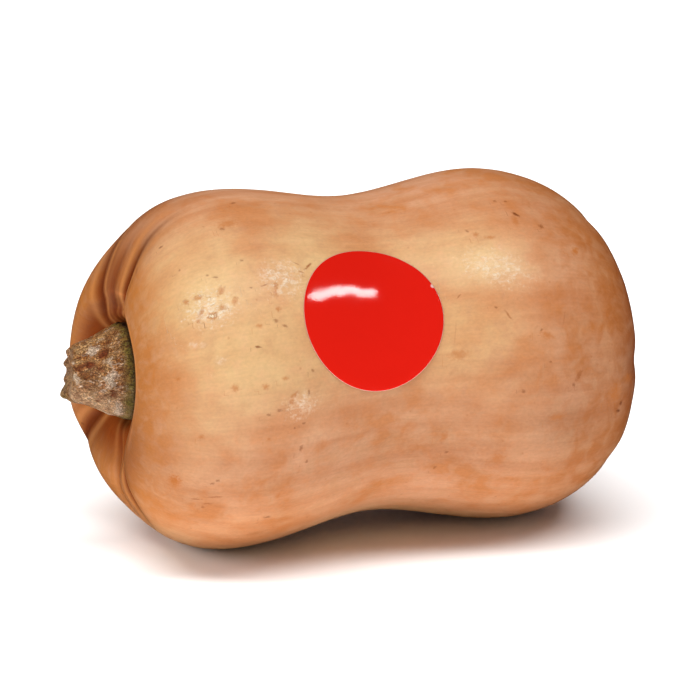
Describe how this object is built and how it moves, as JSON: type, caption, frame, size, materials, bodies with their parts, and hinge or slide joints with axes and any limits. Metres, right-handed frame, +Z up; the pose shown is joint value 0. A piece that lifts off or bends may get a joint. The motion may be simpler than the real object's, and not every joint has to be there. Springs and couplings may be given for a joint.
{
  "type": "butternut squash",
  "caption": "Whole butternut squash lying on its side: a stocky waisted fruit with a furrowed shoulder, a woody stem and a round paper label.",
  "frame": {"origin": "on the surface that the squash lies on, under the middle of its box, stem included", "axes": "+X along the squash from its stem end to its blossom end, +Z up, -Y towards the side that bears the label"},
  "size_m": [0.1813, 0.116, 0.1122],
  "materials": {
    "squash_skin": "smooth waxy skin, satin sheen",
    "stem_bark": "rough dry cork, matt",
    "label_paper": "coated paper, glossy"
  },
  "bodies": {
    "root": {"fruit": "squash_skin", "stem": "stem_bark", "label": "label_paper"}
  },
  "joints": []
}
